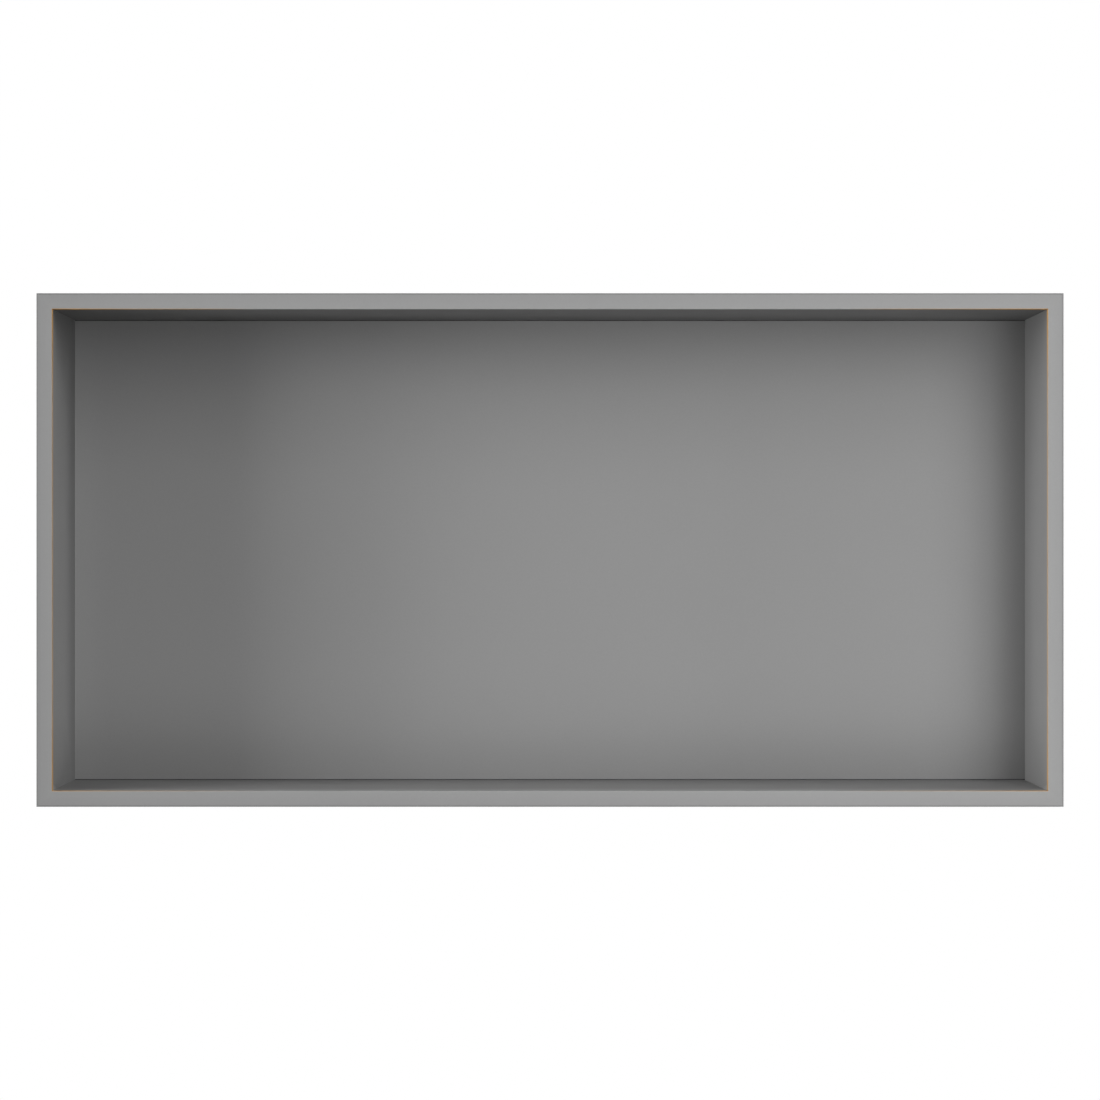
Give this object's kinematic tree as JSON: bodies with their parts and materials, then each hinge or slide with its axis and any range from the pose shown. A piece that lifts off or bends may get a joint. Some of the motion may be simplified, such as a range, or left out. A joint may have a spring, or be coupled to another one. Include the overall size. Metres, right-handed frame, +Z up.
{
  "type": "shower niche insert",
  "caption": "Rectangular recessed wall niche folded from coated steel sheet, with a narrow flat rim and a returned lip, for storing bottles in a tiled shower wall.",
  "frame": {"origin": "centre of the plane in which the edge of the returned lip seats on the wall board", "axes": "+X along the niche's width, +Y into the wall (the opening faces -Y), +Z up"},
  "size_m": [0.6096, 0.1016, 0.3048],
  "materials": {
    "grey_coating": "matte"
  },
  "bodies": {
    "root": {"niche_body": "grey_coating"}
  },
  "joints": []
}
